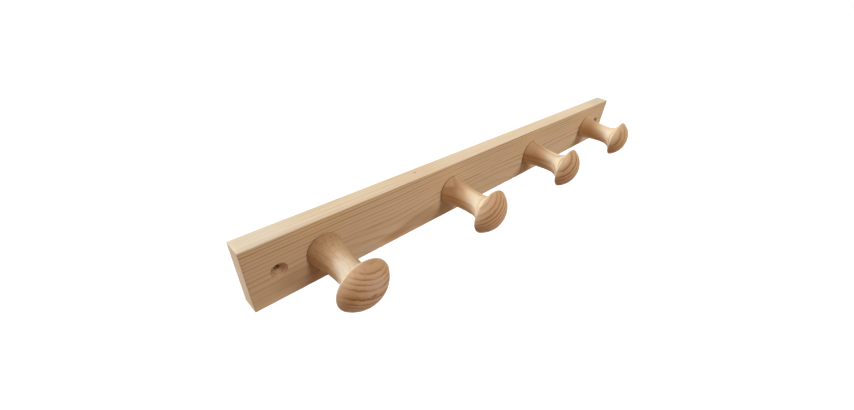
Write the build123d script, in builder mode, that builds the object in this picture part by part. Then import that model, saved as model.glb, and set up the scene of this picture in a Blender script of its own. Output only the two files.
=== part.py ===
from build123d import *
import os

# A wall peg rail: one pine board with a row of turned mushroom-headed pegs.
# Millimetres. The origin is the centre of the board's back face, which lies on the wall.
# +X runs along the board, +Z is up, and the pegs point along -Y into the room.

# The board
rail_length = 600.0
rail_height = 62.0
rail_thickness = 18.0
rail_arris = 0.5                # radius of the sanded edges

# The holes for the wall screws, countersunk from the front
wall_hole_inset = 25.0          # from the board's end to the hole's axis
wall_hole_radius = 2.25
wall_sink_radius = 7.0          # mouth of the countersink
countersink_angle = 90.0

# The row of pegs
peg_count = 4
peg_inset = 64.5                # from the board's end to the first peg's axis
foot_radius = 16.5              # flat foot on the board's face, before its edge is rounded
foot_round = 2.0                # rounded edge of the foot
waist_radius = 12.0             # thinnest place of the stem
head_radius = 24.5
stem_length = 38.5              # board's face to the waist
flare_length = 16.8             # waist to the underside of the rim
rim_width = 1.0                 # the narrow band round the head
rim_round = 0.35                # softened corners of that band
dome_height = 14.7              # rim to the crown of the head

# The countersunk wood screw that holds each peg from behind
screw_length = 40.0
screw_head_radius = 4.0
screw_head_land = 0.4           # thin cylinder on top of the head's cone
screw_shank_radius = 1.45
screw_core_radius = 1.3         # bottom of the thread
screw_thread_radius = 2.0       # crest of the thread
screw_thread_length = 24.0
screw_point_length = 4.0
thread_pitch = 1.8
thread_crest = 0.12             # flat along the top of each thread ring
thread_flank = 0.26             # each sloping side, measured along the screw
recess_half_width = 2.15        # cross recess: half its width at the top of the head
recess_tip_half_width = 0.9
recess_depth = 2.3
recess_wing = 0.9               # thickness of each wing of the cross

# Fits
head_sink = 0.3                 # screw head below the board's back face
shank_clearance = 0.25          # round the thread, in the hole through the board
pilot_clearance = 0.05          # round the thread's core, in the peg
pilot_spare = 1.5               # pilot hole beyond the screw's point

# Places that follow from the sizes
front_y = -rail_thickness
peg_pitch = (rail_length - 2 * peg_inset) / (peg_count - 1)
peg_places = [peg_inset - rail_length / 2 + peg_pitch * step for step in range(peg_count)]
wall_hole_x = rail_length / 2 - wall_hole_inset
rim_start = stem_length + flare_length
rim_end = rim_start + rim_width
crown = rim_end + dome_height

# Distances along the screw, measured from the board's back face
head_bottom = head_sink + screw_head_land
cone_end = head_bottom + screw_head_radius - screw_shank_radius
screw_tip = head_sink + screw_length
point_start = screw_tip - screw_point_length
thread_start = screw_tip - screw_thread_length
thread_rings = int((point_start - thread_start) / thread_pitch)

# The head's cone rests on the countersink's wall, which slopes at 45 degrees
peg_sink_radius = screw_head_radius + head_bottom
peg_hole_radius = screw_thread_radius + shank_clearance
pilot_radius = screw_core_radius + pilot_clearance
pilot_depth = screw_tip - rail_thickness + pilot_spare

os.makedirs("parts", exist_ok=True)

# The board, with the wall-screw holes sunk from the front and the peg-screw holes from
# the back
with BuildPart() as rail_board:
    with BuildSketch(Plane.XZ):
        Rectangle(rail_length, rail_height)
    extrude(amount=rail_thickness)
    fillet(rail_board.edges(), rail_arris)
    with Locations(Plane.XZ.offset(rail_thickness)):
        with Locations((-wall_hole_x, 0), (wall_hole_x, 0)):
            CounterSinkHole(
                wall_hole_radius,
                wall_sink_radius,
                depth=rail_thickness,
                counter_sink_angle=countersink_angle,
            )
    with Locations(-Plane.XZ):
        with Locations([(peg_x, 0) for peg_x in peg_places]):
            CounterSinkHole(
                peg_hole_radius,
                peg_sink_radius,
                depth=rail_thickness,
                counter_sink_angle=countersink_angle,
            )
rail_board.part.label = "rail_board"
export_step(rail_board.part, "parts/rail_board.step")

for number, peg_x in enumerate(peg_places, start=1):
    # Screw: x of each profile is the distance from its axis, y the distance from the
    # board's back face towards the room
    screw_plane = Plane(origin=(peg_x, 0, 0), x_dir=(1, 0, 0), z_dir=(0, 0, -1))
    screw_axis = Axis((peg_x, 0, 0), (0, -1, 0))
    thread_profile = []
    for ring in range(thread_rings):
        ring_start = thread_start + ring * thread_pitch
        thread_profile += [
            (screw_core_radius, ring_start),
            (screw_thread_radius, ring_start + thread_flank),
            (screw_thread_radius, ring_start + thread_flank + thread_crest),
            (screw_core_radius, ring_start + 2 * thread_flank + thread_crest),
        ]
    with BuildPart() as peg_screw:
        with BuildSketch(screw_plane):
            with BuildLine():
                Polyline(
                    (0, head_sink),
                    (screw_head_radius, head_sink),
                    (screw_head_radius, head_bottom),
                    (screw_shank_radius, cone_end),
                    (screw_shank_radius, thread_start - thread_flank),
                    *thread_profile,
                    (screw_core_radius, point_start),
                    (0, screw_tip),
                    close=True,
                )
            make_face()
        revolve(axis=screw_axis)
        for wing_plane in (screw_plane, screw_plane.rotated((0, 90, 0))):
            with BuildSketch(wing_plane):
                with BuildLine():
                    Polyline(
                        (-recess_half_width, head_sink),
                        (recess_half_width, head_sink),
                        (recess_tip_half_width, head_sink + recess_depth),
                        (-recess_tip_half_width, head_sink + recess_depth),
                        close=True,
                    )
                make_face()
            extrude(amount=recess_wing / 2, both=True, mode=Mode.SUBTRACT)
    peg_screw.part.label = f"peg_screw_{number}"
    export_step(peg_screw.part, f"parts/peg_screw_{number}.step")

    # Peg: a round-edged foot; two arcs meet at the waist, both along the peg there; a narrow
    # rim; a low dome.
    # x of the profile is the distance from the axis, y the distance from the board's face.
    peg_plane = Plane(origin=(peg_x, front_y, 0), x_dir=(1, 0, 0), z_dir=(0, 0, -1))
    with BuildPart() as peg:
        with BuildSketch(peg_plane) as peg_profile:
            with BuildLine():
                Line((0, 0), (foot_radius, 0))
                TangentArc((waist_radius, stem_length), (foot_radius, 0), tangent=(0, -1))
                TangentArc(
                    (waist_radius, stem_length), (head_radius, rim_start), tangent=(0, 1)
                )
                Line((head_radius, rim_start), (head_radius, rim_end))
                TangentArc((0, crown), (head_radius, rim_end), tangent=(1, 0))
                Line((0, crown), (0, 0))
            make_face()
            rim_corners = peg_profile.vertices().group_by(Axis.X)[-1]
            fillet(rim_corners, min(rim_round, 0.45 * rim_width))
            foot_corner = peg_profile.vertices().group_by(Axis.Y)[0].sort_by(Axis.X)[-1]
            fillet(foot_corner, min(foot_round, 0.4 * (foot_radius - pilot_radius)))
        revolve(axis=screw_axis)
        with Locations(Plane(origin=(peg_x, front_y, 0), z_dir=(0, 1, 0))):
            Hole(pilot_radius, depth=pilot_depth)
        add(peg_screw.part, mode=Mode.SUBTRACT)
    peg.part.label = f"peg_{number}"
    export_step(peg.part, f"parts/peg_{number}.step")
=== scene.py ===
"""Dresses a wall peg rail: a planed pine board with four turned mushroom-headed pegs.

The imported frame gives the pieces' places. Lengths in the classes below are millimetres, and
they become metres where a mesh or a light is made. +X runs along the rail, +Z is up, and the
pegs point along -Y, out of the wall.
"""
import logging
import math
from dataclasses import dataclass, field, replace
from enum import Enum

import bmesh
import bpy
import numpy as np
from mathutils import Matrix, Vector


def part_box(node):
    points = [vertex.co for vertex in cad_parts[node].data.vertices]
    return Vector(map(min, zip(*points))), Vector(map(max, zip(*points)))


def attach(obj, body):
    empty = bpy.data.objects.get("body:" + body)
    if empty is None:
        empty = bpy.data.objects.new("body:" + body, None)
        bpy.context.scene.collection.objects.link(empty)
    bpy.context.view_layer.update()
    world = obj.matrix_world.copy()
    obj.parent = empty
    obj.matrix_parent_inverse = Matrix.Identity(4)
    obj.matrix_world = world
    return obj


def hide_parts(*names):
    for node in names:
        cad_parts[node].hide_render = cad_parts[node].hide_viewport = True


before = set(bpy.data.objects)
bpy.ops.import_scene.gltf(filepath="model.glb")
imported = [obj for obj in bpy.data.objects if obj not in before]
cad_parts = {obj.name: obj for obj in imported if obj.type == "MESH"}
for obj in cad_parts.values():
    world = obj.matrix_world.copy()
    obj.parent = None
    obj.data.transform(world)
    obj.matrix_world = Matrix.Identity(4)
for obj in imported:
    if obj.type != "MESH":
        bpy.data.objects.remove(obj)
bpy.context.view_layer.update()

Socket = bpy.types.NodeSocket
Pair = tuple[float, float]
Triple = tuple[float, float, float]

LOG = logging.getLogger("peg_rail")
MM = 0.001
BODY = "root"
WELD_GAP = 0.002 * MM           # points nearer than this are one point
SHARP_ANGLE = math.radians(38)  # edges that turn more than this stay crisp
END_GRAIN = "end_grain"         # point attribute: how squarely a surface cuts the fibres
NOISE_SPAN = (0.2, 0.8)         # nearly all of a noise node's values lie between these
MIX_FROM, MIX_TO = 6, 7         # the two colour inputs of a Mix node
COLOURS = {"data_type": "RGBA", "out": 2}       # for a Mix node that mixes colours
SMOOTH = {"interpolation_type": "SMOOTHSTEP"}   # for a Map Range node that eases in and out


class Fibre(Enum):
    """The axis that a piece's wood fibres run along."""

    ALONG_RAIL = 0
    ALONG_PEG = 1


# ---------------------------------------------------------------------------------------------
# Objects and meshes
# ---------------------------------------------------------------------------------------------

def put(name: str, data: bpy.types.ID) -> bpy.types.Object:
    """Makes an object in the scene's own collection.

    Args:
        name: The object's name.
        data: Its mesh, light or camera.

    Returns:
        The new object.
    """
    thing = bpy.data.objects.new(name, data)
    bpy.context.scene.collection.objects.link(thing)
    return thing


@dataclass
class Skin:
    """Collects grids of points and welds them into one closed surface.

    Points are held in millimetres.
    """

    points: list[np.ndarray] = field(default_factory=list)
    quads: list[np.ndarray] = field(default_factory=list)
    count: int = 0              # points so far

    def add(self, grid: np.ndarray, keep: np.ndarray | None = None) -> None:
        """Adds a grid of points, with a four-sided face between each four neighbours.

        Args:
            grid: Points, shaped (rows, columns, 3).
            keep: Which faces to make, shaped (rows - 1, columns - 1). All of them if left out.
        """
        rows, columns = grid.shape[:2]
        index = self.count + np.arange(rows * columns).reshape(rows, columns)
        corners = (index[:-1, :-1], index[:-1, 1:], index[1:, 1:], index[1:, :-1])
        faces = np.stack(corners, axis=-1)
        self.quads.append(faces.reshape(-1, 4) if keep is None else faces[keep])
        self.points.append(grid.reshape(-1, 3))
        self.count += rows * columns

    def build(
        self, name: str, material: bpy.types.Material, fibre: Fibre | None = None
    ) -> bpy.types.Object:
        """Makes the welded mesh object, with its normals outwards and its end grain marked.

        Points that no face uses are dropped. The end grain at a point is the share of its
        normal that lies along the fibres.

        Args:
            name: The object's name.
            material: The finish of the whole surface.
            fibre: The axis that the fibres run along, if it is wood.

        Returns:
            The new object.
        """
        mesh = bpy.data.meshes.new(name)
        used, quads = np.unique(np.concatenate(self.quads), return_inverse=True)
        places = np.concatenate(self.points)[used] * MM
        mesh.from_pydata(places.tolist(), [], quads.reshape(-1, 4).tolist())
        work = bmesh.new()
        work.from_mesh(mesh)
        bmesh.ops.remove_doubles(work, verts=work.verts, dist=WELD_GAP)
        bmesh.ops.recalc_face_normals(work, faces=work.faces)
        work.to_mesh(mesh)
        work.free()
        mesh.shade_smooth()
        mesh.set_sharp_from_angle(angle=SHARP_ANGLE)
        if fibre is not None:
            normals = np.empty(len(mesh.vertices) * 3, np.float32)
            mesh.vertex_normals.foreach_get("vector", normals)
            squareness = np.abs(normals.reshape(-1, 3)[:, fibre.value])
            marks = mesh.attributes.new(END_GRAIN, "FLOAT", "POINT")
            marks.data.foreach_set("value", squareness)
        mesh.materials.append(material)
        return put(name, mesh)


def steps(start: float, end: float, spacing: float) -> np.ndarray:
    """Gives evenly spaced values from start to end, no further apart than spacing."""
    return np.linspace(start, end, max(1, math.ceil(abs(end - start) / spacing)) + 1)


def full_turn(segments: int) -> np.ndarray:
    """Gives the angles of a ring's points, with the first one again at the end.

    Args:
        segments: Faces round the ring.

    Returns:
        Angles in radians, shaped (segments + 1,).
    """
    turn = np.linspace(0, 2 * math.pi, segments + 1)
    turn[-1] = 0.0
    return turn


def turned(profile: np.ndarray, centre_x: float, face_y: float, segments: int) -> np.ndarray:
    """Turns a profile about an axis parallel to Y.

    A profile point (r, s) becomes the ring of points at the distance r from the axis and the
    distance s from the face, in the direction out of the wall.

    Args:
        profile: Distances (r, s), shaped (points, 2).
        centre_x: Where the axis lies along the rail.
        face_y: The y of the face that s is measured from.
        segments: Faces round the axis.

    Returns:
        Points, shaped (points, segments + 1, 3).
    """
    turn = full_turn(segments)
    radius, distance = profile[:, :1], profile[:, 1:]
    x = centre_x + radius * np.cos(turn)
    y = face_y - distance + 0 * turn
    return np.stack([x, y, radius * np.sin(turn)], axis=-1)


def arc(length: float, gain: float, points: int) -> tuple[np.ndarray, np.ndarray]:
    """Gives the circular arc that sets out along a line and ends beside it.

    Its radius is R = (length^2 + gain^2) / (2 gain). After a turn of a it has come R sin(a)
    along the line and is R (1 - cos(a)) away from it.

    Args:
        length: How far along the line the arc ends.
        gain: How far from the line it ends.
        points: Points along the arc.

    Returns:
        The points' distances along the line, and their distances from it.
    """
    radius = (length**2 + gain**2) / (2 * gain)
    turn = np.linspace(0, math.asin(length / radius), points)
    return radius * np.sin(turn), radius * (1 - np.cos(turn))


def rounded(profile: np.ndarray, corner: int, cut: float, count: int = 7) -> np.ndarray:
    """Rounds one corner of a profile.

    The corner point P gives way to the parabola that starts at the distance cut before P,
    ends at the distance cut after it, and has both edges as tangents:
    (1 - t)^2 start + 2 t (1 - t) P + t^2 end.

    Args:
        profile: Points, shaped (points, 2).
        corner: The index of the corner point.
        cut: How far from the corner the rounding starts and ends.
        count: Points along the rounding.

    Returns:
        The profile with the rounding in place of the corner and of points nearer than cut.
    """
    point = profile[corner]
    before, after = profile[:corner], profile[corner + 1:]
    before = before[np.linalg.norm(before - point, axis=1) > cut]
    after = after[np.linalg.norm(after - point, axis=1) > cut]
    to_start = before[-1] - point
    to_end = after[0] - point
    start = point + cut * to_start / np.linalg.norm(to_start)
    end = point + cut * to_end / np.linalg.norm(to_end)
    t = np.linspace(0, 1, count)[:, None]
    curve = (1 - t) ** 2 * start + 2 * t * (1 - t) * point + t**2 * end
    return np.concatenate([before, curve, after])


# ---------------------------------------------------------------------------------------------
# Finishes
# ---------------------------------------------------------------------------------------------

def linear(colour: str) -> tuple[float, float, float, float]:
    """Turns an sRGB colour into the linear one that a material takes, by the sRGB curve.

    Args:
        colour: The colour in hex, such as "#e2c39c".

    Returns:
        Linear red, green, blue and a full alpha.
    """
    channels = [int(colour[i:i + 2], 16) / 255 for i in (1, 3, 5)]
    bent = [c / 12.92 if c <= 0.04045 else ((c + 0.055) / 1.055) ** 2.4 for c in channels]
    return (*bent, 1.0)


class Recipe:
    """A node tree that is filled one node at a time."""

    def __init__(self, owner: bpy.types.Material | bpy.types.World) -> None:
        """Empties a node tree and takes it over.

        Args:
            owner: The material or the world whose nodes they are.
        """
        owner.use_nodes = True
        self.tree = owner.node_tree
        self.tree.nodes.clear()

    def add(
        self,
        kind: str,
        *values: object,
        named: dict[int | str, object] | None = None,
        out: int | str = 0,
        **settings: object,
    ) -> Socket | None:
        """Adds one node with its settings, values and links.

        Args:
            kind: The node's type, without its ShaderNode prefix.
            values: What goes into the first sockets, in order. A socket is linked, None is
                left alone, and anything else is set as the value.
            named: What goes into sockets that are picked by name or number.
            out: The output to return, by name or number.
            settings: The node's own properties.

        Returns:
            The chosen output, or None for a node that has none.
        """
        node = self.tree.nodes.new("ShaderNode" + kind)
        for setting, value in settings.items():
            setattr(node, setting, value)
        for socket, value in [*enumerate(values), *(named or {}).items()]:
            if isinstance(value, Socket):
                self.tree.links.new(value, node.inputs[socket])
            elif value is not None:
                node.inputs[socket].default_value = value
        return node.outputs[out] if len(node.outputs) else None


@dataclass(frozen=True)
class Mottle:
    """An uneven pattern in wood, drawn out along its fibres."""

    length: float               # of a patch, along the fibres
    width: float                # of a patch, across them
    detail: float = 1.0         # octaves of finer noise


@dataclass(frozen=True)
class Fleck:
    """A small patch of other wood: a pin knot, a resin pocket or a stain.

    It is an ellipsoid in the wood, strongest within the core share of its reach and gone at
    its surface, so it shows wherever a face passes through it. Some flecks are painted shade
    or painted shadow instead.
    """

    place: Triple               # along the fibres, across and up
    reach: Triple               # half its size, the same way
    colour: str
    strength: float = 0.85
    core: float = 0.25


@dataclass(frozen=True)
class GrainLift:
    """How the rings near the board's lower edge wander up and down along it.

    The height at which the rings are read is raised by
    (dip + rise + slope) * exp(-(height above the lower edge) / fade).
    """

    lower_edge: float           # its height
    dip_at: float = -158.0      # centre of the dip that leaves a flame on the lower edge
    dip_reach: float = 74.0     # from the centre to where the dip is gone
    dip: float = 18.8
    rise_span: Pair = (-8.0, 118.0)     # where the rings start to spread, and are fully spread
    rise: float = 21.5
    slope: float = 0.0247       # per millimetre along the board
    slope_from: float = -290.0  # where that is 0
    fade: float = 18.5


@dataclass(frozen=True)
class Pine:
    """Planed or turned pine, sanded and left without a finish.

    The colour comes from growth rings about a pith line: pale wide earlywood that darkens
    slowly into a thin band of reddish latewood, then turns pale again at once. Fibres give
    fine streaks along the grain, and surfaces that cut across them drink in light and look
    darker and warmer. The wood is dull, with a faint sheen on the denser latewood.
    """

    name: str
    fibre: Fibre
    pith: Pair                          # across and up
    pith_climb: float = 0.0             # how much the pith rises per millimetre of fibre
    centre: Triple = (0.0, 0.0, 0.0)    # where places in this wood are measured from

    ring_width: float = 1.8
    ring_offset: float = 0.0            # radius of the outer edge of one ring
    breathing: float = 0.0              # how far the bands stray from even spacing
    breathing_length: float = 25.0
    breathing_shift: float = 0.0        # phase of that, in radians
    waves: tuple[Mottle, ...] = (Mottle(160.0, 22.0), Mottle(34.0, 5.0, 2.0))
    wander: tuple[float, ...] = (0.09, 0.10)    # height of each of those waves, in rings

    earlywood: str = "#e6cba9"
    latewood: str = "#ad7c4a"
    band_start: float = 0.35            # where in a ring the shade towards latewood starts
    band_curve: float = 1.6             # 1 darkens evenly towards it, more keeps the line thin
    band_peak: float = 0.86             # where it is darkest, before the next ring's pale wood
    ring_contrast: Pair = (0.2, 0.88)   # of the faintest and the boldest ring
    ring_luck: float = 0.0              # picks which rings are bold
    patches: Mottle = Mottle(38.0, 4.0)
    patchiness: float = 0.35            # how much a band's strength varies between patches
    side_contrast: float = 1.0          # of the rings on faces along the fibres
    side_span: Pair = (0.5, 0.8)        # end grain over which that passes into full contrast
    # top_contrast is painted light: the upward face's rings are fainter, as bright light washes
    # them out
    top_contrast: float = 1.0           # of the rings on the upward face
    top_from: float = 0.0               # height of that face
    top_fade: float = 0.5               # how far below it the contrast starts to change

    streaks: Mottle = Mottle(60.0, 1.5, 3.0)    # both drawn coarser than real fibres, to show
    hairs: Mottle = Mottle(22.0, 0.4, 2.0)
    streak: float = 0.17                # strength of the streaks, and twice that of the hairs
    dashes: Mottle = Mottle(9.0, 0.75)
    dash: float = 0.0                   # strength of short dark resin dashes
    dash_edge: Pair = (0.05, 0.7)       # of the pattern: where a dash starts, and is full
    dash_span: Pair = (-58.0, -24.0)    # along: faint up to the first, full from the second
    dash_faint: float = 0.3             # their strength where they are faint

    drift: Mottle = Mottle(120.0, 16.0)     # from one tint to the other
    rosy: str = "#fff8f1"               # the two tints that multiply the colour by turns
    straw: str = "#f8f5e4"
    end_shade: str = "#f0e4d6"          # multiplies the colour where fibres are cut across
    end_span: Pair = (0.1, 0.55)        # end grain where that shade starts, and is full
    flecks: tuple[Fleck, ...] = ()

    roughness: Pair = (0.62, 0.48)      # of earlywood and of latewood
    ior: float = 1.5
    sheen: float = 0.2                  # open fibres mirror less than a sealed face's 0.5
    relief: float = 0.06                # how proud sanding leaves the latewood
    relief_strength: float = 0.5
    hair_relief: float = 0.35           # of the fibres, as a share of the latewood's
    tool_relief: float = 0.12           # of the gouge's turning marks, likewise
    tool_pitch: float = 0.0             # spacing of those marks, 0 for none
    lift: GrainLift | None = None
    seed: float = 0.0                   # picks the stretch of each pattern

    def make(self) -> bpy.types.Material:
        """Makes the material.

        Returns:
            The material.
        """
        material = bpy.data.materials.new(self.name)
        PineRecipe(material, self).fill()
        return material


class PineRecipe(Recipe):
    """Fills a material with the rings, the fibres and the flecks of one piece of pine."""

    def __init__(self, material: bpy.types.Material, pine: Pine) -> None:
        """Takes over a material, and works out what its colour and relief share.

        That is the place in the wood in millimetres, how squarely the surface cuts the
        fibres there, the share of latewood, and the finest fibres.

        Args:
            material: The material to fill.
            pine: The wood to fill it with.
        """
        super().__init__(material)
        self.pine = pine
        metres = self.add("TexCoord", out="Object")
        from_centre = {"Location": -Vector(pine.centre), "Scale": [1 / MM] * 3}
        centred = self.add("Mapping", metres, named=from_centre)
        x, y, self.up = self.add("SeparateXYZ", centred).node.outputs
        self.along, self.across = (x, y) if pine.fibre is Fibre.ALONG_RAIL else (y, x)
        self.place = self.add("CombineXYZ", self.along, self.across, self.up)
        self.squareness = self.add("Attribute", attribute_name=END_GRAIN, out="Fac")
        self.late = self.latewood()
        self.hairs = self.noise(pine.hairs)

    def noise(self, mottle: Mottle) -> Socket:
        """Gives noise from -1 to 1 with patches of a mottle's size.

        Args:
            mottle: The size of the patches.

        Returns:
            The noise.
        """
        stretch = {
            "Location": (self.pine.seed, self.pine.seed / 2, mottle.length),
            "Scale": (1 / mottle.length, 1 / mottle.width, 1 / mottle.width),
        }
        stretched = self.add("Mapping", self.place, named=stretch)
        raw = self.add("TexNoise", stretched, named={"Scale": 1.0, "Detail": mottle.detail})
        return self.add("MapRange", raw, *NOISE_SPAN, -1.0, 1.0)

    def ring_height(self) -> Socket:
        """Gives the height at which the rings are read, by the formula of GrainLift.

        Returns:
            The height.
        """
        lift = self.pine.lift
        if lift is None:
            return self.up
        from_dip = self.add("Math", self.along, -lift.dip_at, operation="ADD")
        distance = self.add("Math", from_dip, operation="ABSOLUTE")
        dip = self.add("MapRange", distance, 0.0, lift.dip_reach, lift.dip, 0.0, **SMOOTH)
        rise = self.add("MapRange", self.along, *lift.rise_span, 0.0, lift.rise, **SMOOTH)
        slope = self.add(
            "Math", self.along, lift.slope, -lift.slope * lift.slope_from,
            operation="MULTIPLY_ADD",
        )
        both = self.add("Math", dip, rise, operation="ADD")
        total = self.add("Math", both, slope, operation="ADD")
        exponent = self.add(
            "Math", self.up, -1 / lift.fade, lift.lower_edge / lift.fade,
            operation="MULTIPLY_ADD",
        )
        share = self.add("Math", exponent, operation="EXPONENT")
        return self.add("Math", total, share, self.up, operation="MULTIPLY_ADD")

    def ring_turn(self) -> Socket:
        """Gives the ring number as a fraction: whole numbers are the outer edges of rings.

        It is (radius + waves + breathing * sin(pace * radius + shift) - offset) / ring width,
        where the radius is the distance from the pith line.

        Returns:
            The ring number.
        """
        pine = self.pine
        pith_across, pith_up = pine.pith
        pith_height = self.add(
            "Math", self.along, pine.pith_climb, pith_up, operation="MULTIPLY_ADD"
        )
        beyond = self.add("Math", self.across, pith_across, operation="SUBTRACT")
        above = self.add("Math", self.ring_height(), pith_height, operation="SUBTRACT")
        arm = self.add("CombineXYZ", 0.0, beyond, above)
        radius = self.add("VectorMath", arm, operation="LENGTH", out="Value")
        strayed = radius
        for mottle, share in zip(pine.waves, pine.wander):
            height = share * pine.ring_width
            strayed = self.add(
                "Math", self.noise(mottle), height, strayed, operation="MULTIPLY_ADD"
            )
        if pine.breathing:
            pace = 2 * math.pi / pine.breathing_length
            angle = self.add("Math", radius, pace, pine.breathing_shift, operation="MULTIPLY_ADD")
            swing = self.add("Math", angle, operation="SINE")
            strayed = self.add("Math", swing, pine.breathing, strayed, operation="MULTIPLY_ADD")
        return self.add(
            "Math", strayed, 1 / pine.ring_width, -pine.ring_offset / pine.ring_width,
            operation="MULTIPLY_ADD",
        )

    def latewood(self) -> Socket:
        """Gives the share of latewood: 0 in earlywood, and up to 1 in a bold ring's band.

        Through a ring it is (way from band_start to band_peak)^curve and then falls smoothly
        to 0 at the ring's edge. The ring's own boldness, the patches along it and the
        contrast of the face multiply it.

        Returns:
            The share of latewood.
        """
        pine = self.pine
        turn = self.ring_turn()
        part = self.add("Math", turn, operation="FRACT")
        darken = self.add("MapRange", part, pine.band_start, pine.band_peak, 0.0, 1.0)
        darken = self.add("Math", darken, pine.band_curve, operation="POWER")
        pale_again = self.add("MapRange", part, pine.band_peak, 1.0, 1.0, 0.0, **SMOOTH)
        band = self.add("Math", darken, pale_again, operation="MULTIPLY")
        number = self.add("Math", turn, operation="FLOOR")
        picked = self.add("Math", number, pine.ring_luck, operation="ADD")
        luck = self.add("TexWhiteNoise", named={"W": picked}, noise_dimensions="1D")
        strength = self.add("MapRange", luck, 0.0, 1.0, *pine.ring_contrast)
        least, most = 1 - pine.patchiness, 1 + pine.patchiness
        patches = self.add("MapRange", self.noise(pine.patches), -1.0, 1.0, least, most)
        strength = self.add("Math", strength, patches, operation="MULTIPLY")
        shown = self.add("MapRange", self.squareness, *pine.side_span, pine.side_contrast, 1.0)
        strength = self.add("Math", strength, shown, operation="MULTIPLY")
        # Painted light: the rings fade on the upward face, as under bright light
        if pine.top_contrast < 1:
            edge = (pine.top_from - pine.top_fade, pine.top_from)
            on_top = self.add("MapRange", self.up, *edge, 1.0, pine.top_contrast)
            strength = self.add("Math", strength, on_top, operation="MULTIPLY")
        return self.add("Math", band, strength, operation="MULTIPLY")

    def tone(self) -> Socket:
        """Gives how dark the wood is: the rings with streaks, dashes and hairs added.

        Returns:
            The tone, from 0 for earlywood to 1 for latewood.
        """
        pine = self.pine
        streaks = self.noise(pine.streaks)
        tone = self.add("Math", streaks, pine.streak, self.late, operation="MULTIPLY_ADD")
        if pine.dash:
            raw = self.noise(pine.dashes)
            dashes = self.add("MapRange", raw, *pine.dash_edge, 0.0, pine.dash)
            reach = self.add("MapRange", self.along, *pine.dash_span, pine.dash_faint, 1.0)
            dashes = self.add("Math", dashes, reach, operation="MULTIPLY")
            tone = self.add("Math", tone, dashes, operation="ADD")
        return self.add(
            "Math", self.hairs, pine.streak / 2, tone, operation="MULTIPLY_ADD", use_clamp=True
        )

    def colour(self) -> Socket:
        """Gives the colour: the tone's, tinted by slow drifts and darker at cut ends.

        Returns:
            The colour, with the flecks over it.
        """
        pine = self.pine
        woods = {MIX_FROM: linear(pine.earlywood), MIX_TO: linear(pine.latewood)}
        wood = self.add("Mix", self.tone(), named=woods, **COLOURS)
        leaning = self.add("MapRange", self.noise(pine.drift), -1.0, 1.0, 0.0, 1.0)
        tints = {MIX_FROM: linear(pine.rosy), MIX_TO: linear(pine.straw)}
        tint = self.add("Mix", leaning, named=tints, **COLOURS)
        cut = self.add("MapRange", self.squareness, *pine.end_span, 0.0, 1.0, **SMOOTH)
        for share, shade in ((1.0, tint), (cut, linear(pine.end_shade))):
            pair = {MIX_FROM: wood, MIX_TO: shade}
            wood = self.add("Mix", share, named=pair, blend_type="MULTIPLY", **COLOURS)
        return self.with_flecks(wood)

    def with_flecks(self, wood: Socket) -> Socket:
        """Lays the flecks over a colour, each by its distance |(place - centre) / reach|.

        Args:
            wood: The colour of the wood.

        Returns:
            The colour with the flecks.
        """
        for fleck in self.pine.flecks:
            ellipsoid = {"Location": fleck.place, "Scale": fleck.reach}
            share = self.add("Mapping", self.place, named=ellipsoid, vector_type="TEXTURE")
            distance = self.add("VectorMath", share, operation="LENGTH", out="Value")
            spot = self.add("MapRange", distance, fleck.core, 1.0, fleck.strength, 0.0, **SMOOTH)
            pair = {MIX_FROM: wood, MIX_TO: linear(fleck.colour)}
            wood = self.add("Mix", spot, named=pair, **COLOURS)
        return wood

    def normal(self) -> Socket:
        """Gives the relief: sanding leaves the hard latewood proud and the fibres open.

        Returns:
            The surface's normal.
        """
        pine = self.pine
        height = self.add(
            "Math", self.hairs, pine.hair_relief, self.late, operation="MULTIPLY_ADD"
        )
        if pine.tool_pitch:
            pace = 2 * math.pi / pine.tool_pitch
            angle = self.add("Math", self.along, pace, operation="MULTIPLY")
            mark = self.add("Math", angle, operation="SINE")
            height = self.add("Math", mark, pine.tool_relief, height, operation="MULTIPLY_ADD")
        bump = {"Height": height, "Strength": pine.relief_strength, "Distance": pine.relief * MM}
        return self.add("Bump", named=bump)

    def fill(self) -> None:
        """Fills the material with its colour, roughness and relief."""
        surface = {
            "Base Color": self.colour(),
            "Roughness": self.add("MapRange", self.late, 0.0, 1.0, *self.pine.roughness),
            "IOR": self.pine.ior,
            "Normal": self.normal(),
            "Specular IOR Level": self.pine.sheen,
        }
        self.add("OutputMaterial", self.add("BsdfPrincipled", named=surface))


@dataclass(frozen=True)
class ZincPlate:
    """Bright zinc plating over a rolled steel screw.

    Plating gives a grey metal with a faint straw cast and small dull patches, and the rolled
    thread under it keeps fine rings.
    """

    name: str = "zinc_plated_steel"
    bright: str = "#cfccc0"
    dull: str = "#a9a594"
    patch: float = 1.5                  # size of the dull patches
    patch_detail: float = 3.0
    patch_edge: Pair = (0.3, 0.7)       # of the pattern: from bright to dull
    roughness: Pair = (0.24, 0.42)      # of bright and of dull plating

    def make(self) -> bpy.types.Material:
        """Makes the material.

        Returns:
            The material.
        """
        material = bpy.data.materials.new(self.name)
        recipe = Recipe(material)
        place = recipe.add("TexCoord", out="Object")
        size = {"Scale": 1 / (self.patch * MM), "Detail": self.patch_detail}
        cloud = recipe.add("TexNoise", place, named=size)
        pair = {MIX_FROM: linear(self.bright), MIX_TO: linear(self.dull)}
        colour = recipe.add("Mix", cloud, named=pair, **COLOURS)
        rough = recipe.add("MapRange", cloud, *self.patch_edge, *self.roughness)
        metal = {"Base Color": colour, "Roughness": rough, "Metallic": 1.0}
        recipe.add("OutputMaterial", recipe.add("BsdfPrincipled", named=metal))
        return material


# ---------------------------------------------------------------------------------------------
# Pieces
# ---------------------------------------------------------------------------------------------

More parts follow.
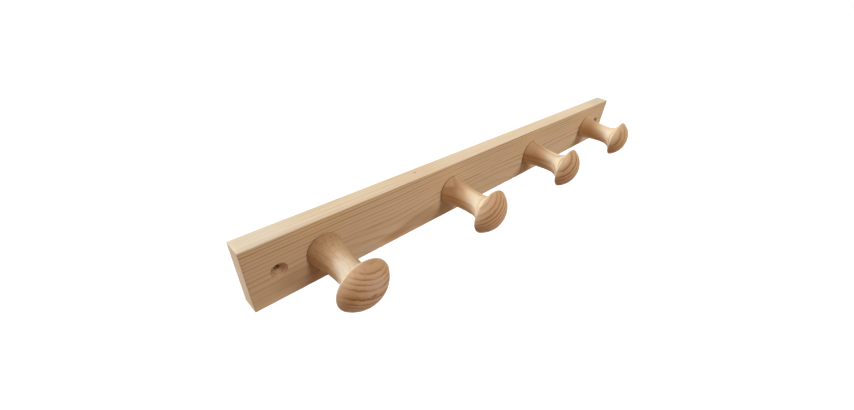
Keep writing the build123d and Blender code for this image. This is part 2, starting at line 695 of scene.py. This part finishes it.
@dataclass
class Hole:
    """A countersunk hole through the board, along Y."""

    centre: float                       # along the rail
    bore: float                         # radius of the straight part
    mouth: float                        # radius of the countersink where it opens
    sunk_from_front: bool
    window: float = 9.0                 # half the side of the square that the skin fills
    per_side: int = 24                  # faces along each side of that square
    shares: tuple[float, ...] = (0.0, 0.4, 0.75, 1.0)   # of the circle in each flat ring
    mouth_ease: Pair = (0.25, 0.06)     # width and depth of the mouth's softened edge
    bore_ease: float = 0.1              # both, for the edge where the bore opens
    cone_step: float = 0.3              # depth between rings on the cone
    bore_step: float = 2.0              # and in the bore
    chatter: float = 0.32               # height of the cutter's ridges on the cone
    chatter_pitch: float = 1.7

    def square(self) -> np.ndarray:
        """Gives the window's outline about the hole.

        Returns:
            Points (x, z), shaped (points, 2), closed.
        """
        side = np.linspace(-self.window, self.window, self.per_side + 1)[:-1]
        edge = np.full_like(side, self.window)
        x = np.concatenate([side, edge, -side, -edge, side[:1]])
        z = np.concatenate([-edge, side, edge, -side, -edge[:1]])
        return np.stack([x, z], axis=-1)

    def tube(self, thickness: float) -> np.ndarray:
        """Gives the hole's skin, from the window on the sunk face to the one on the other.

        A ring is the mix (1 - share) * square + share * radius * direction, where direction
        points from the axis to the square's points. On the two faces the share goes from the
        square to the circle and back. Inside the hole it is 1, and the radius is the mouth's
        less the depth, down to the bore. The cutter's ridges add a spiral wave to it,
        chatter * sin(2 pi depth / pitch + angle), which fades out at both ends of the cone.

        Args:
            thickness: The board's thickness.

        Returns:
            Points, shaped (rings, points round, 3).
        """
        square = self.square()
        direction = square / np.linalg.norm(square, axis=1, keepdims=True)
        angle = np.arctan2(square[:, 1], square[:, 0])
        cone_depth = self.mouth - self.bore
        mouth_width, mouth_depth = self.mouth_ease
        flat = np.array(self.shares)
        cone = steps(mouth_depth, cone_depth, self.cone_step)
        straight = steps(cone_depth + self.cone_step, thickness - self.bore_ease, self.bore_step)
        depth = np.concatenate([0 * flat, cone, straight, np.full_like(flat, thickness)])
        share = np.concatenate([flat, np.ones(len(cone) + len(straight)), flat[::-1]])
        fade = np.sqrt(np.sin(math.pi * (cone / cone_depth)))[:, None]
        wave = np.sin(2 * math.pi * cone[:, None] / self.chatter_pitch + angle)
        even = np.ones_like(angle)
        radius = np.concatenate([
            np.full((len(flat), len(angle)), self.mouth + mouth_width),
            (self.mouth - cone)[:, None] * even + self.chatter * fade * wave,
            np.full((len(straight), len(angle)), self.bore),
            np.full((len(flat), len(angle)), self.bore + self.bore_ease),
        ])
        rings = (1 - share)[:, None, None] * square
        rings = rings + (share[:, None] * radius)[..., None] * direction
        below = depth[:, None] * even
        y = below - thickness if self.sunk_from_front else -below
        return np.stack([rings[..., 0] + self.centre, y, rings[..., 1]], axis=-1)


@dataclass
class RailBoard:
    """The planed board that carries the pegs, with its holes."""

    length: float
    height: float
    thickness: float
    peg_places: list[float]
    arris: float = 0.5                  # radius of the sanded edges
    arris_faces: int = 4                # round each edge
    wall_hole_inset: float = 25.0       # from the board's end to the hole's axis
    wall_bore: float = 2.25
    wall_mouth: float = 7.0
    peg_bore: float = 2.25
    peg_mouth: float = 4.7
    column_step: float = 4.0            # the longest face along the board
    row_step: float = 2.5               # and up its front
    edge_step: float = 1.5              # and across its top
    edge_row: float = 0.4               # a row this near each arris keeps the flat face flat
    touch: float = 0.01                 # what lies this near a face is on it
    decimals: int = 6                   # at which two places of the section are one
    finish: Pine = Pine(
        name="planed_pine",
        fibre=Fibre.ALONG_RAIL,
        pith=(53.9, -24.8),
        pith_climb=0.015,
        ring_width=1.81,
        ring_offset=72.85,
        ring_luck=52547.0,
        flecks=(
            # Drifts of tone along the top edge, and its pin knot
            Fleck((-292.0, -9.0, 31.0), (60.0, 30.0, 2.0), "#ecdcbf", 0.25),
            Fleck((-125.0, -9.0, 31.0), (55.0, 30.0, 2.0), "#d8ad7c", 0.3),
            Fleck((290.0, -9.0, 31.0), (50.0, 30.0, 2.0), "#bfb18f", 0.5),
            Fleck((-123.8, -6.6, 31.0), (2.0, 1.3, 3.0), "#8a5e30"),
            # A dark patch on the cone of the first wall hole
            Fleck((-280.2, -16.4, 1.8), (1.9, 2.2, 1.4), "#4f3818", 0.85),
            # Resin and pinkish wood low on the front
            Fleck((-156.0, -18.0, -24.0), (30.0, 40.0, 7.0), "#b4733a", 0.45),
            Fleck((-188.0, -18.0, -25.0), (16.0, 40.0, 6.0), "#cdb5a6", 0.45),
            Fleck((-262.0, -18.0, -29.0), (22.0, 40.0, 8.0), "#d0b39c", 0.4),
            # Painted shade: the front darker towards its left end, where less light falls
            Fleck((-285.0, -24.0, 0.0), (170.0, 16.0, 60.0), "#9c7048", 0.28, 0.3),
            # Painted shadow below and left of the first peg's foot
            Fleck((-258.0, -18.0, -16.0), (34.0, 30.0, 15.0), "#94683f", 0.4),
            # Darker, more orange wood low on the front, left of the second peg
            Fleck((-122.0, -18.0, -19.0), (40.0, 40.0, 14.0), "#a06e45", 0.38),
        ),
        end_shade="#e2d2c4",
        top_contrast=0.5,
        seed=3.0,
    )
    # Painted shade on each wall hole's cone and in its bore, placed along from the hole's axis
    wall_hole_painted_shade: tuple[Fleck, ...] = (
        Fleck((0.0, -13.4, 0.0), (9.0, 4.4, 9.0), "#8f6d3f", 0.4, 0.7),
        Fleck((0.0, -7.0, 0.0), (3.4, 16.0, 3.4), "#7d5a2c", 0.7, 0.7),
    )

    def wall_hole_places(self) -> Pair:
        """Gives the places of the two wall holes along the board."""
        end = self.length / 2 - self.wall_hole_inset
        return -end, end

    def wood(self) -> Pine:
        """Fits the finish to the board: to its upper and lower edges and its wall holes.

        Returns:
            The finish, with the painted shade in each wall hole under its other flecks.
        """
        hole_painted_shades = [
            replace(shade, place=(x, *shade.place[1:]))
            for shade in self.wall_hole_painted_shade for x in self.wall_hole_places()
        ]
        top = self.height / 2
        return replace(
            self.finish,
            lift=GrainLift(lower_edge=-top),
            top_from=top,
            flecks=(*hole_painted_shades, *self.finish.flecks),
        )

    def holes(self) -> list[Hole]:
        """Lists the board's holes.

        Returns:
            The two for the wall screws, and one behind each peg.
        """
        wall = [
            Hole(x, self.wall_bore, self.wall_mouth, sunk_from_front=True)
            for x in self.wall_hole_places()
        ]
        behind = [
            Hole(x, self.peg_bore, self.peg_mouth, sunk_from_front=False, chatter=0.0)
            for x in self.peg_places
        ]
        return wall + behind

    def columns(self, holes: list[Hole]) -> np.ndarray:
        """Gives the places along the board of the skin's columns, with each window's own.

        Args:
            holes: The board's holes.

        Returns:
            Places between the two end arrises, in order.
        """
        core = self.length / 2 - self.arris
        place, parts = -core, []
        for hole in sorted(holes, key=lambda each: each.centre):
            start, end = hole.centre - hole.window, hole.centre + hole.window
            parts.append(steps(place, start, self.column_step)[:-1])
            parts.append(np.linspace(start, end, hole.per_side + 1)[:-1])
            place = end
        parts.append(steps(place, core, self.column_step))
        return np.concatenate(parts)

    def quarter_turn(self) -> np.ndarray:
        """Gives the angles round an arris, from one face to the next."""
        return np.linspace(0, math.pi / 2, self.arris_faces + 1)

    def section(self, hole: Hole) -> tuple[np.ndarray, np.ndarray]:
        """Gives the board's cross-section as core points and outward directions.

        The core is the rectangle that is smaller by the arris on each side. A point of the
        section is its core point plus the arris times its direction.

        Args:
            hole: A hole, for the rows that its window needs.

        Returns:
            Core points and directions as (y, z), each shaped (points, 2), closed.
        """
        back, front = -self.arris, self.arris - self.thickness
        top = self.height / 2 - self.arris
        outer = np.concatenate([[top], steps(top - self.edge_row, hole.window, self.row_step)])
        middle = np.linspace(hole.window, -hole.window, hole.per_side + 1)
        rows = np.concatenate([outer[:-1], middle, -outer[:-1][::-1]])
        inner = steps(front + self.edge_row, back - self.edge_row, self.edge_step)
        widths = np.concatenate([[front], inner, [back]])
        quarter = self.quarter_turn()[1:-1, None]
        sides = [
            (np.column_stack([np.full_like(rows, front), rows[::-1]]), (-1.0, 0.0)),
            (np.column_stack([widths, np.full_like(widths, top)]), (0.0, 1.0)),
            (np.column_stack([np.full_like(rows, back), rows]), (1.0, 0.0)),
            (np.column_stack([widths[::-1], np.full_like(widths, -top)]), (0.0, -1.0)),
        ]
        core, out = [], []
        for (points, direction), (_, following) in zip(sides, sides[1:] + sides[:1]):
            turn = np.cos(quarter) * np.array(direction) + np.sin(quarter) * np.array(following)
            core += [points, np.repeat(points[-1:], len(turn), axis=0)]
            out += [np.tile(direction, (len(points), 1)), turn]
        core.append(core[0][:1])
        out.append(out[0][:1])
        return np.concatenate(core), np.concatenate(out)

    def build(self) -> bpy.types.Object:
        """Builds the board's skin and dresses it.

        Along the board each column is the section at full size. At the ends the columns go
        through a quarter turn: the arris shrinks with the turn's cosine while the place
        grows with its sine, and a flat grid closes what is left.

        Returns:
            The board.
        """
        holes = self.holes()
        core, out = self.section(holes[0])
        main = self.columns(holes)
        turn = self.quarter_turn()[1:]
        bulge = self.arris * np.sin(turn)
        places = np.concatenate([(main[0] - bulge)[::-1], main, main[-1] + bulge])
        size = np.concatenate([np.cos(turn)[::-1], np.ones_like(main), np.cos(turn)])
        section = core + self.arris * size[:, None, None] * out
        x = np.repeat(places[:, None], len(core), axis=1)
        grid = np.stack([x, section[..., 0], section[..., 1]], axis=-1)
        middle = (grid[:-1, :-1] + grid[1:, 1:]) / 2
        half = self.thickness / 2
        on_face = np.abs(np.abs(middle[..., 1] + half) - half) < self.touch
        in_band = np.abs(middle[..., 2]) < holes[0].window
        in_window = np.zeros_like(in_band)
        skin = Skin()
        for hole in holes:
            in_window |= np.abs(middle[..., 0] - hole.centre) < hole.window
            skin.add(hole.tube(self.thickness))
        skin.add(grid, keep=~(on_face & in_band & in_window))
        corner_y, corner_z = (np.unique(core[:, axis].round(self.decimals)) for axis in (0, 1))
        y, z = np.meshgrid(corner_y, corner_z)
        for end in (-self.length / 2, self.length / 2):
            skin.add(np.stack([np.full_like(y, end), y, z], axis=-1))
        board = skin.build("rail_board_planed", self.wood().make(), self.finish.fibre)
        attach(board, BODY)
        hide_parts("rail_board")
        return board


@dataclass
class TurnedPeg:
    """A turned peg: a flared foot, a waist and a mushroom head with a low domed face."""

    number: int
    centre_x: float
    face_y: float
    finish: Pine
    foot_radius: float = 16.5
    waist_radius: float = 12.0
    head_radius: float = 24.5
    stem_length: float = 38.5
    flare_length: float = 16.8
    rim_width: float = 1.0
    dome_height: float = 14.7
    rim_softening: float = 0.35
    foot_softening: float = 1.9
    bore_radius: float = 2.05           # clears the crest of the screw's thread
    bore_depth: float = 23.8
    stem_points: int = 40
    flare_points: int = 34
    dome_points: int = 40
    segments: int = 192

    def profile(self) -> np.ndarray:
        """Gives half the peg's section, as (distance from the axis, distance from the face).

        The stem and the flare are arcs that set out along the peg at the waist, and end at
        the foot and at the rim. The dome is the arc that sets out across the peg at the
        crown, and ends at the rim.

        Returns:
            Points from the bottom of the screw's bore round to the crown.
        """
        waist = self.waist_radius
        crown = self.stem_length + self.flare_length + self.rim_width + self.dome_height
        bore_rim = self.bore_radius
        bore = [(0.0, self.bore_depth), (bore_rim, self.bore_depth), (bore_rim, 0.0)]
        along, away = arc(self.stem_length, self.foot_radius - waist, self.stem_points)
        stem = np.column_stack([waist + away, self.stem_length - along])[::-1]
        along, away = arc(self.flare_length, self.head_radius - waist, self.flare_points)
        flare = np.column_stack([waist + away, self.stem_length + along])[1:]
        along, away = arc(self.head_radius, self.dome_height, self.dome_points)
        dome = np.column_stack([along, crown - away])[::-1]
        profile = np.concatenate([bore, stem, flare, dome])
        foot_edge = len(bore)
        rim_start = len(bore) + len(stem) + len(flare) - 1
        profile = rounded(profile, rim_start + 1, self.rim_softening)
        profile = rounded(profile, rim_start, self.rim_softening)
        return rounded(profile, foot_edge, self.foot_softening)

    def build(self) -> bpy.types.Object:
        """Builds the turned surface and dresses it.

        Returns:
            The peg.
        """
        skin = Skin()
        skin.add(turned(self.profile(), self.centre_x, self.face_y, self.segments))
        peg = skin.build(f"peg_{self.number}_turned", self.finish.make(), self.finish.fibre)
        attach(peg, BODY)
        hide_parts(f"peg_{self.number}")
        return peg


# Painted shade in the crevice under the rounded foot of each peg, where it meets the board
FOOT_PAINTED_SHADE = Fleck((-18.0, 0.0, 0.0), (1.5, 60.0, 60.0), "#553416", 0.6, 0.35)


@dataclass(frozen=True)
class Blank:
    """How one peg was cut from its stick of pine: where the pith lay, and how it grew."""

    pith_bearing: float                 # degrees from +X towards +Z
    pith_distance: float                # from the peg's axis
    ring_width: float
    band_at: float                      # one latewood band, beyond the pith distance
    breathing: float = 0.0              # how far the bands stray from even spacing
    breathing_length: float = 25.0
    breathing_crest: float = 0.0        # where they stray most, beyond the pith distance
    band_peak: float = 0.84
    contrast: Pair = (0.6, 1.0)         # of the faintest and the boldest ring
    side_contrast: float = 0.15
    dash: float = 0.12
    flecks: tuple[Fleck, ...] = ()
    luck: float = 0.0                   # picks which rings are bold
    earlywood: str = "#e6cba9"
    latewood: str = "#a4703c"
    seed_step: float = 11.0             # gives each peg's patterns a stretch of their own

    def finish(self, number: int, centre_x: float) -> Pine:
        """Gives the peg's finish: turned pine, with the rings where this blank has them.

        Args:
            number: The peg's number.
            centre_x: Where its axis lies along the rail.

        Returns:
            The finish.
        """
        bearing = math.radians(self.pith_bearing)
        pace = 2 * math.pi / self.breathing_length
        past_peak = (1 - self.band_peak) * self.ring_width
        return Pine(
            name=f"turned_pine_{number}",
            fibre=Fibre.ALONG_PEG,
            pith=(self.pith_distance * math.cos(bearing), self.pith_distance * math.sin(bearing)),
            centre=(centre_x, 0.0, 0.0),
            ring_width=self.ring_width,
            ring_offset=self.pith_distance + self.band_at + past_peak,
            breathing=self.breathing,
            breathing_length=self.breathing_length,
            breathing_shift=math.pi / 2 - pace * (self.pith_distance + self.breathing_crest),
            wander=(0.06, 0.08),
            earlywood=self.earlywood,
            latewood=self.latewood,
            band_start=0.2,
            band_curve=2.1,
            band_peak=self.band_peak,
            ring_contrast=self.contrast,
            ring_luck=self.luck,
            patchiness=0.15,
            side_contrast=self.side_contrast,
            streak=0.14,
            dash=self.dash,
            rosy="#fff5ea",
            straw="#fdf3e0",
            end_shade="#fbf1e6",
            flecks=(*self.flecks, FOOT_PAINTED_SHADE),
            tool_pitch=0.9,
            seed=self.seed_step * number,
        )


BLANKS = [
    Blank(
        pith_bearing=75, pith_distance=160, ring_width=5.0, band_at=-19.3,
        breathing=1.7, breathing_crest=-7.0,
        luck=815.0, dash=0.5, earlywood="#dfc5a6", latewood="#96642f",
        flecks=(
            Fleck((-88.5, -1.0, 1.8), (5.0, 4.2, 1.5), "#6f4026", 0.85, 0.0),
            # Painted shade over the foot and the lower stem, near the board
            Fleck((-18.0, 0.0, 0.0), (16.0, 40.0, 40.0), "#9a6535", 0.5, 0.2),
            Fleck((-86.0, 3.0, 9.0), (9.0, 15.0, 11.0), "#dfbfaa", 0.45, 0.2),
            # Painted shade on the left side of the head and its dome
            Fleck((-78.0, -20.0, 2.0), (14.0, 14.0, 20.0), "#a5652c", 0.4, 0.2),
        ),
    ),
    Blank(
        pith_bearing=305, pith_distance=220, ring_width=4.3, band_at=-3.0,
        contrast=(0.6, 0.9), side_contrast=0.4, latewood="#9e6c3a",
    ),
    Blank(
        pith_bearing=135, pith_distance=180, ring_width=6.6, band_at=-17.6,
        breathing=-0.8, breathing_length=19.8, breathing_crest=-12.7,
        contrast=(0.75, 1.0), side_contrast=0.5, latewood="#93622f",
    ),
    Blank(
        pith_bearing=158, pith_distance=110, ring_width=8.4, band_at=-16.6,
        contrast=(0.2, 0.7), luck=288.0, latewood="#93622f",
    ),
]


def dress_screws() -> list[bpy.types.Object]:
    """Gives the frame's own peg screws their plating.

    Returns:
        The screws.
    """
    plating = ZincPlate().make()
    screws = [node for name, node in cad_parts.items() if name.startswith("peg_screw")]
    for screw in screws:
        screw.data.materials.clear()
        screw.data.materials.append(plating)
    return screws


# ---------------------------------------------------------------------------------------------
# Stage, lights and camera
# ---------------------------------------------------------------------------------------------

def heading(azimuth: float, elevation: float) -> Vector:
    """Gives the unit vector that points at a place round the rail.

    Args:
        azimuth: In degrees. 0 is in front of the rail, 90 beyond its +X end.
        elevation: In degrees above the rail.

    Returns:
        The vector.
    """
    around, above = math.radians(azimuth), math.radians(elevation)
    return Vector((
        math.sin(around) * math.cos(above),
        -math.cos(around) * math.cos(above),
        math.sin(above),
    ))


def set_level(light: bpy.types.Light, level: Triple, power: float) -> None:
    """Gives a light its colour and strength.

    Args:
        light: The light.
        level: Red, green and blue on a face square to it. 1 shows a colour as written.
        power: The strength that gives a level of 1.
    """
    light.energy = power * max(level)
    light.color = [channel / max(level) for channel in level]


@dataclass(frozen=True)
class Viewpoint:
    """Where the camera stands and how it looks."""

    place: Triple = (-349.9, -246.5, 216.4)
    azimuth: float = -50.21         # the way back from what it looks at, as heading() says
    elevation: float = 36.89
    roll: float = 6.72              # degrees, turning the picture clockwise
    focal_pixels: float = 373.44
    axis_pixel: Pair = (448.49, 225.09)     # where the lens axis meets the picture
    picture: tuple[int, int] = (854, 410)
    sensor: float = 36.0
    seen: Pair = (10.0, 20000.0)    # the nearest and the furthest that shows

    def build(self) -> bpy.types.Object:
        """Makes the camera and hands it to the scene.

        Returns:
            The camera.
        """
        wide, high = self.picture
        lens = bpy.data.cameras.new("viewpoint")
        lens.sensor_width = self.sensor
        lens.lens = self.focal_pixels / wide * self.sensor
        lens.shift_x = (wide / 2 - self.axis_pixel[0]) / wide
        lens.shift_y = (self.axis_pixel[1] - high / 2) / wide
        lens.clip_start, lens.clip_end = (distance * MM for distance in self.seen)
        camera = put("viewpoint", lens)
        level = heading(self.azimuth, self.elevation).to_track_quat("Z", "Y").to_matrix()
        rolled = level @ Matrix.Rotation(math.radians(self.roll), 3, "Z")
        camera.matrix_world = rolled.to_4x4()
        camera.location = Vector(self.place) * MM
        bpy.context.scene.camera = camera
        return camera


@dataclass(frozen=True)
class Lamp:
    """A soft lamp a long way off, whose light is the same all along the rail."""

    name: str
    azimuth: float                  # where it stands, as heading() says
    elevation: float
    level: Triple                   # as set_level() says
    softness: float = 35.0          # degrees that the lamp's disc spans

    def build(self) -> bpy.types.Object:
        """Makes the lamp.

        A white face square to a lamp of pi watts per square metre shows as plain white.

        Returns:
            The lamp.
        """
        light = bpy.data.lights.new(self.name, "SUN")
        light.angle = math.radians(self.softness)
        set_level(light, self.level, math.pi)
        lamp = put(self.name, light)
        away = heading(self.azimuth, self.elevation)
        lamp.matrix_world = away.to_track_quat("Z", "Y").to_matrix().to_4x4()
        return lamp


@dataclass(frozen=True)
class Softbox:
    """A round softbox near the rail, so that what is nearer to it is lit more."""

    name: str
    place: Triple
    level: Triple                   # as a Lamp's, at the middle of the rail
    width: float = 550.0

    def build(self) -> bpy.types.Object:
        """Makes the softbox, facing the middle of the rail.

        A disc of pi^2 * distance^2 watts gives pi watts per square metre at that distance.

        Returns:
            The softbox.
        """
        place = Vector(self.place) * MM
        light = bpy.data.lights.new(self.name, "AREA")
        light.shape = "DISK"
        light.size = self.width * MM
        set_level(light, self.level, math.pi**2 * place.length_squared)
        box = put(self.name, light)
        box.matrix_world = place.to_track_quat("Z", "Y").to_matrix().to_4x4()
        box.location = place
        return box


@dataclass(frozen=True)
class Studio:
    """A plain pale floor in a white surround, with window light and a warm room's glow."""

    floor_drop: float = 700.0       # below the middle of the rail
    floor_reach: float = 9000.0
    floor_rise: float = 600.0       # of its far edge over its middle
    floor_rings: int = 23
    floor_segments: int = 64
    floor_paint: str = "#fffaf0"
    floor_lift: float = 0.12        # keeps what is seen of the floor white outside its shadow
    floor_bounce: str = "#866650"   # what the floor throws back onto the object
    white: str = "#ffffff"
    room: Triple = (0.22, 0.115, 0.035)     # what the surround gives as light, linear
    lamps: tuple[Lamp | Softbox, ...] = (
        Lamp("window_sky", 225.0, 26.0, (0.36, 0.80, 1.30), softness=12.0),
        Lamp("window_sun", 225.0, 31.0, (0.68, 0.66, 0.70), softness=30.0),
        Lamp("front_window", 11.0, 40.0, (0.41, 0.445, 0.49), softness=16.0),
        Softbox("room_fill", (560.0, -420.0, 420.0), (0.05, 0.06, 0.06)),
        Lamp("side_fill", 90.0, -10.0, (0.33, 0.43, 0.30)),
    )

    def seen_plainly(self, recipe: Recipe) -> Socket:
        """Tells looking at a surface from being lit by it.

        Args:
            recipe: The material being filled.

        Returns:
            1 where the camera, a gloss or glass looks at the surface, and 0 for its light.
        """
        path = recipe.add("LightPath").node.outputs
        shiny = (path["Is Glossy Ray"], path["Is Transmission Ray"])
        mirrored = recipe.add("Math", *shiny, operation="MAXIMUM")
        return recipe.add("Math", path["Is Camera Ray"], mirrored, operation="MAXIMUM")

    def build_floor(self) -> bpy.types.Object:
        """Makes the floor: a shallow bowl, flat under the object and rising at its far edge.

        The height over the flat part is rise * share^3, with share the distance from the
        middle as a part of the floor's reach.

        Returns:
            The floor.
        """
        share = np.linspace(0, 1, self.floor_rings + 1)[:, None]
        turn = full_turn(self.floor_segments)
        x = self.floor_reach * share * np.cos(turn)
        y = self.floor_reach * share * np.sin(turn)
        z = -self.floor_drop + self.floor_rise * share**3 + 0 * turn
        material = bpy.data.materials.new("pale_floor")
        recipe = Recipe(material)
        seen = self.seen_plainly(recipe)
        pair = {MIX_FROM: linear(self.floor_bounce), MIX_TO: linear(self.floor_paint)}
        paint = recipe.add("BsdfDiffuse", recipe.add("Mix", seen, named=pair, **COLOURS))
        lift = recipe.add("Math", seen, self.floor_lift, operation="MULTIPLY")
        glow = recipe.add("Emission", linear(self.white), lift)
        recipe.add("OutputMaterial", recipe.add("AddShader", paint, glow))
        skin = Skin()
        skin.add(np.stack([x, y, z], axis=-1))
        floor = skin.build("studio_floor", material)
        return floor

    def build_world(self) -> None:
        """Makes the surround: white where the camera or a gloss sees it, gentle as a light."""
        world = bpy.data.worlds.new("white_surround")
        bpy.context.scene.world = world
        recipe = Recipe(world)
        pair = {MIX_FROM: (*self.room, 1.0), MIX_TO: linear(self.white)}
        colour = recipe.add("Mix", self.seen_plainly(recipe), named=pair, **COLOURS)
        recipe.add("OutputWorld", recipe.add("Background", colour, 1.0))

    def build(self) -> None:
        """Makes the floor, the surround and the lamps."""
        self.build_floor()
        self.build_world()
        for lamp in self.lamps:
            lamp.build()
        bpy.context.scene.view_settings.view_transform = "Standard"


def node_middle(node: str) -> float:
    """Gives the middle of a frame node along the rail, in millimetres."""
    low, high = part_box(node)
    return (low.x + high.x) / 2 / MM


def write_sizes() -> None:
    """Updates the view layer, so that the pieces' places are current."""
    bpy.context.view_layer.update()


def main() -> None:
    """Builds the view, the rail's pieces and the studio, in that order."""
    logging.basicConfig(level=logging.INFO, format="%(name)s: %(message)s")
    Viewpoint().build()
    low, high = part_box("rail_board")
    size = (high - low) / MM
    peg_places = [node_middle(f"peg_{number}") for number in range(1, len(BLANKS) + 1)]
    board = RailBoard(
        length=size.x, height=size.z, thickness=size.y, peg_places=peg_places
    ).build()
    LOG.info("%s: %d faces", board.name, len(board.data.polygons))
    for number, (place, blank) in enumerate(zip(peg_places, BLANKS), start=1):
        peg = TurnedPeg(number, place, low.y / MM, blank.finish(number, place)).build()
        LOG.info("%s: %d faces", peg.name, len(peg.data.polygons))
    for screw in dress_screws():
        LOG.info("%s: plated", screw.name)
    Studio().build()
    write_sizes()


if __name__ == "__main__":
    main()
